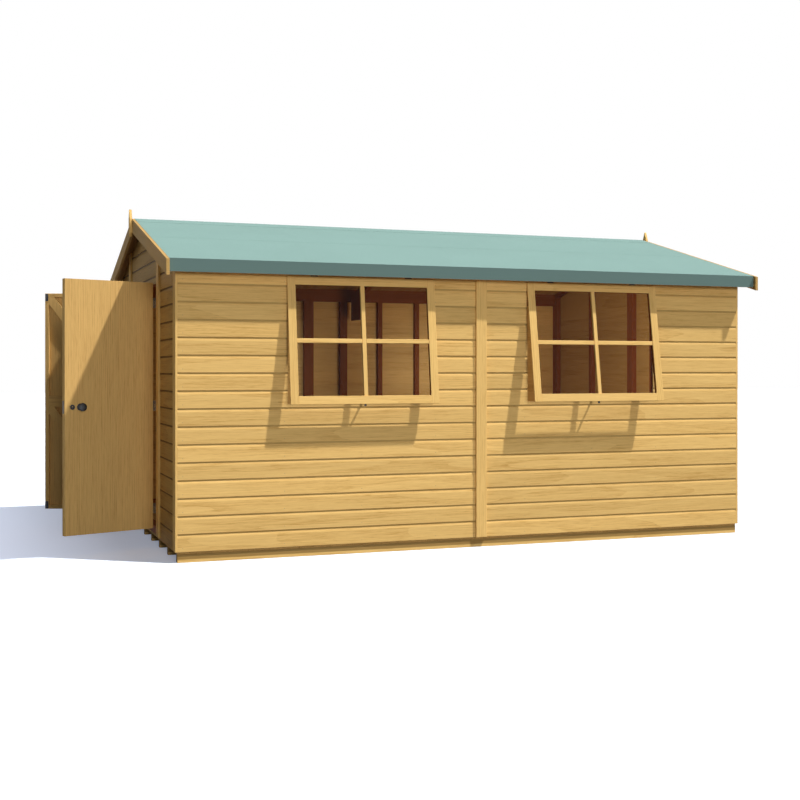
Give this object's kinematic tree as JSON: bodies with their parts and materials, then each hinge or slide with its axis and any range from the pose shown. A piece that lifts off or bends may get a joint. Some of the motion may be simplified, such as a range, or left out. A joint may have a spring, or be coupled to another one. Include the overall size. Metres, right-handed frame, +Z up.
{
  "type": "garden shed",
  "caption": "Timber garden shed with a low pitched felt roof, boarded double doors in the gable end and top-hung windows in the long front wall.",
  "frame": {"origin": "middle of the whole part's box in plan, with the doors standing open, on the ground under the bearers", "axes": "+X along the shed from the door gable to the plain gable, +Y from the window wall to the back wall, +Z up"},
  "size_m": [5.223, 3.34, 2.545],
  "materials": {
    "shiplap_timber": "satin",
    "gable_timber": "satin",
    "framing_timber": "matte",
    "trim_timber": "satin",
    "floor_timber": "matte",
    "roof_timber": "matte",
    "door_timber": "satin",
    "roofing_felt": "matte",
    "glazing": "gloss",
    "black_iron": "satin",
    "zinc_steel": "satin"
  },
  "bodies": {
    "shed": {"floor_bearers": "framing_timber", "floor_deck": "floor_timber", "front_wall_left": "shiplap_timber", "front_wall_right": "shiplap_timber", "back_wall": "shiplap_timber", "far_gable_wall": "gable_timber", "door_wall_sides": "gable_timber", "door_wall_header": "gable_timber", "front_wall_rails": "framing_timber", "front_wall_studs": "framing_timber", "back_wall_rails": "framing_timber", "back_wall_studs": "framing_timber", "door_wall_rails": "framing_timber", "door_wall_studs": "framing_timber", "far_gable_rails": "framing_timber", "far_gable_studs": "framing_timber", "corner_strips": "trim_timber", "door_side_strips": "trim_timber", "panel_joint_strips": "trim_timber", "door_threshold": "framing_timber", "roof_boards_front": "roof_timber", "roof_boards_back": "roof_timber", "roof_felt_front": "roofing_felt", "roof_felt_back": "roofing_felt", "fascia_boards": "trim_timber", "eaves_battens": "roof_timber", "roof_purlins": "framing_timber", "roof_truss": "framing_timber", "truss_gussets": "roof_timber", "bargeboards": "trim_timber", "finials": "trim_timber", "window_sashes": "trim_timber", "window_panes": "glazing", "window_stays": "black_iron", "window_hinges": "zinc_steel", "door_hinges_fixed": "zinc_steel", "bolt_keeps": "black_iron"},
    "near_door": {"near_door_boards": "door_timber", "near_door_frame": "door_timber", "near_door_hinges": "zinc_steel", "door_knob_and_keyhole": "black_iron", "door_lock": "black_iron"},
    "far_door": {"far_door_boards": "door_timber", "far_door_frame": "door_timber", "far_door_hinges": "zinc_steel", "tower_bolts_and_keep": "black_iron"}
  },
  "joints": [
    {"name": "near_door_hinge", "type": "hinge", "parent": "shed", "child": "near_door", "pos_m": [-1.94951, -0.69, 0], "axis": [0, 0, 1], "range_deg": [-110, 58]},
    {"name": "far_door_hinge", "type": "hinge", "parent": "shed", "child": "far_door", "pos_m": [-1.94951, 0.69, 0], "axis": [0, 0, 1], "range_deg": [-58, 110]}
  ]
}
